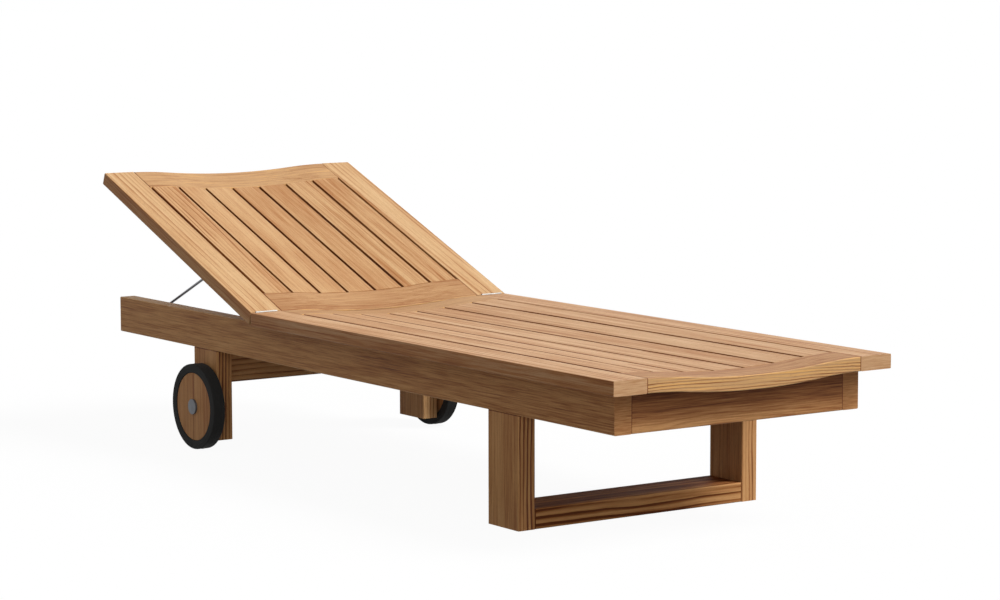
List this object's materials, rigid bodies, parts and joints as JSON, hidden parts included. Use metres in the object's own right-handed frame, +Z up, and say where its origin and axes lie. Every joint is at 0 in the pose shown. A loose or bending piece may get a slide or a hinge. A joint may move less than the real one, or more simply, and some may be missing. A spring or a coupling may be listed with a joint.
{
  "type": "chaise lounger",
  "caption": "Slatted teak sun lounger with a scooped deck, a reclining backrest propped by a bent steel bail, a sled-like front leg frame and wooden wheels with rubber tyres at the head end.",
  "frame": {"origin": "middle of the footprint of the whole lounger, at floor level, with the backrest raised as pictured", "axes": "+X across to the sitter's left, +Y towards the head end, +Z up from the floor"},
  "size_m": [0.7, 2.0821, 0.6267],
  "materials": {
    "teak_seat": "bare sanded teak, pinkish tan",
    "teak_back": "bare sanded teak, golden tan",
    "teak_frame": "bare sanded teak, mid brown",
    "teak_wheel": "bare sanded teak, mid brown",
    "tyre_rubber": "matte black rubber",
    "rod_steel": "dark satin steel rod",
    "hardware_steel": "satin stainless steel",
    "cap_steel": "grey satin steel",
    "bearing_plastic": "black nylon"
  },
  "bodies": {
    "base": {"axle_left": "hardware_steel", "axle_nuts": "hardware_steel", "axle_right": "hardware_steel", "axle_spacers": "bearing_plastic", "frame_screws": "hardware_steel", "front_leg_left": "teak_frame", "front_leg_right": "teak_frame", "front_rail": "teak_frame", "front_stretcher": "teak_frame", "hinge_pins": "hardware_steel", "rack_left": "teak_frame", "rack_right": "teak_frame", "rear_apron": "teak_frame", "rear_leg_left": "teak_frame", "rear_leg_right": "teak_frame", "seat_batten_1": "teak_frame", "seat_batten_2": "teak_frame", "seat_end_rail_far": "teak_seat", "seat_end_rail_hinge": "teak_seat", "seat_hinge_leaf_left": "hardware_steel", "seat_hinge_leaf_right": "hardware_steel", "seat_hinge_screws": "hardware_steel", "seat_slat_1": "teak_seat", "seat_slat_2": "teak_seat", "seat_slat_3": "teak_seat", "seat_slat_4": "teak_seat", "seat_slat_5": "teak_seat", "seat_slat_6": "teak_seat", "seat_slat_7": "teak_seat", "seat_stile_left": "teak_seat", "seat_stile_right": "teak_seat", "side_rail_left": "teak_frame", "side_rail_right": "teak_frame"},
    "backrest": {"back_batten": "teak_frame", "back_end_rail_far": "teak_back", "back_end_rail_hinge": "teak_back", "back_hinge_leaf_left": "hardware_steel", "back_hinge_leaf_right": "hardware_steel", "back_hinge_screws": "hardware_steel", "back_screws": "hardware_steel", "back_slat_1": "teak_back", "back_slat_2": "teak_back", "back_slat_3": "teak_back", "back_slat_4": "teak_back", "back_slat_5": "teak_back", "back_slat_6": "teak_back", "back_slat_7": "teak_back", "back_stile_left": "teak_back", "back_stile_right": "teak_back", "bail_saddle_left": "hardware_steel", "bail_saddle_right": "hardware_steel"},
    "bail_frame": {"bail": "rod_steel"},
    "wheel_left": {"tyre_left": "tyre_rubber", "wheel_disc_left": "teak_wheel", "wheel_bush_left": "bearing_plastic", "hub_cap_left": "cap_steel"},
    "wheel_right": {"tyre_right": "tyre_rubber", "wheel_disc_right": "teak_wheel", "wheel_bush_right": "bearing_plastic", "hub_cap_right": "cap_steel"}
  },
  "joints": [
    {"name": "back_recline", "type": "hinge", "parent": "base", "child": "backrest", "pos_m": [0, 0.32094, 0.3505], "axis": [1, 0, 0], "range_deg": [-21.4, 38.6]},
    {"name": "bail_swing", "type": "hinge", "parent": "backrest", "child": "bail_frame", "pos_m": [0, 0.65076, 0.42154], "axis": [1, 0, 0], "range_deg": [-77.2, 42.8]},
    {"name": "wheel_left_spin", "type": "hinge", "parent": "base", "child": "wheel_left", "pos_m": [-0.3285, 0.60794, 0.101], "axis": [1, 0, 0], "continuous": true},
    {"name": "wheel_right_spin", "type": "hinge", "parent": "base", "child": "wheel_right", "pos_m": [0.3285, 0.60794, 0.101], "axis": [1, 0, 0], "continuous": true}
  ],
  "couplings": [
    {"joint": "bail_swing", "follows": "back_recline", "ratio": -2}
  ]
}
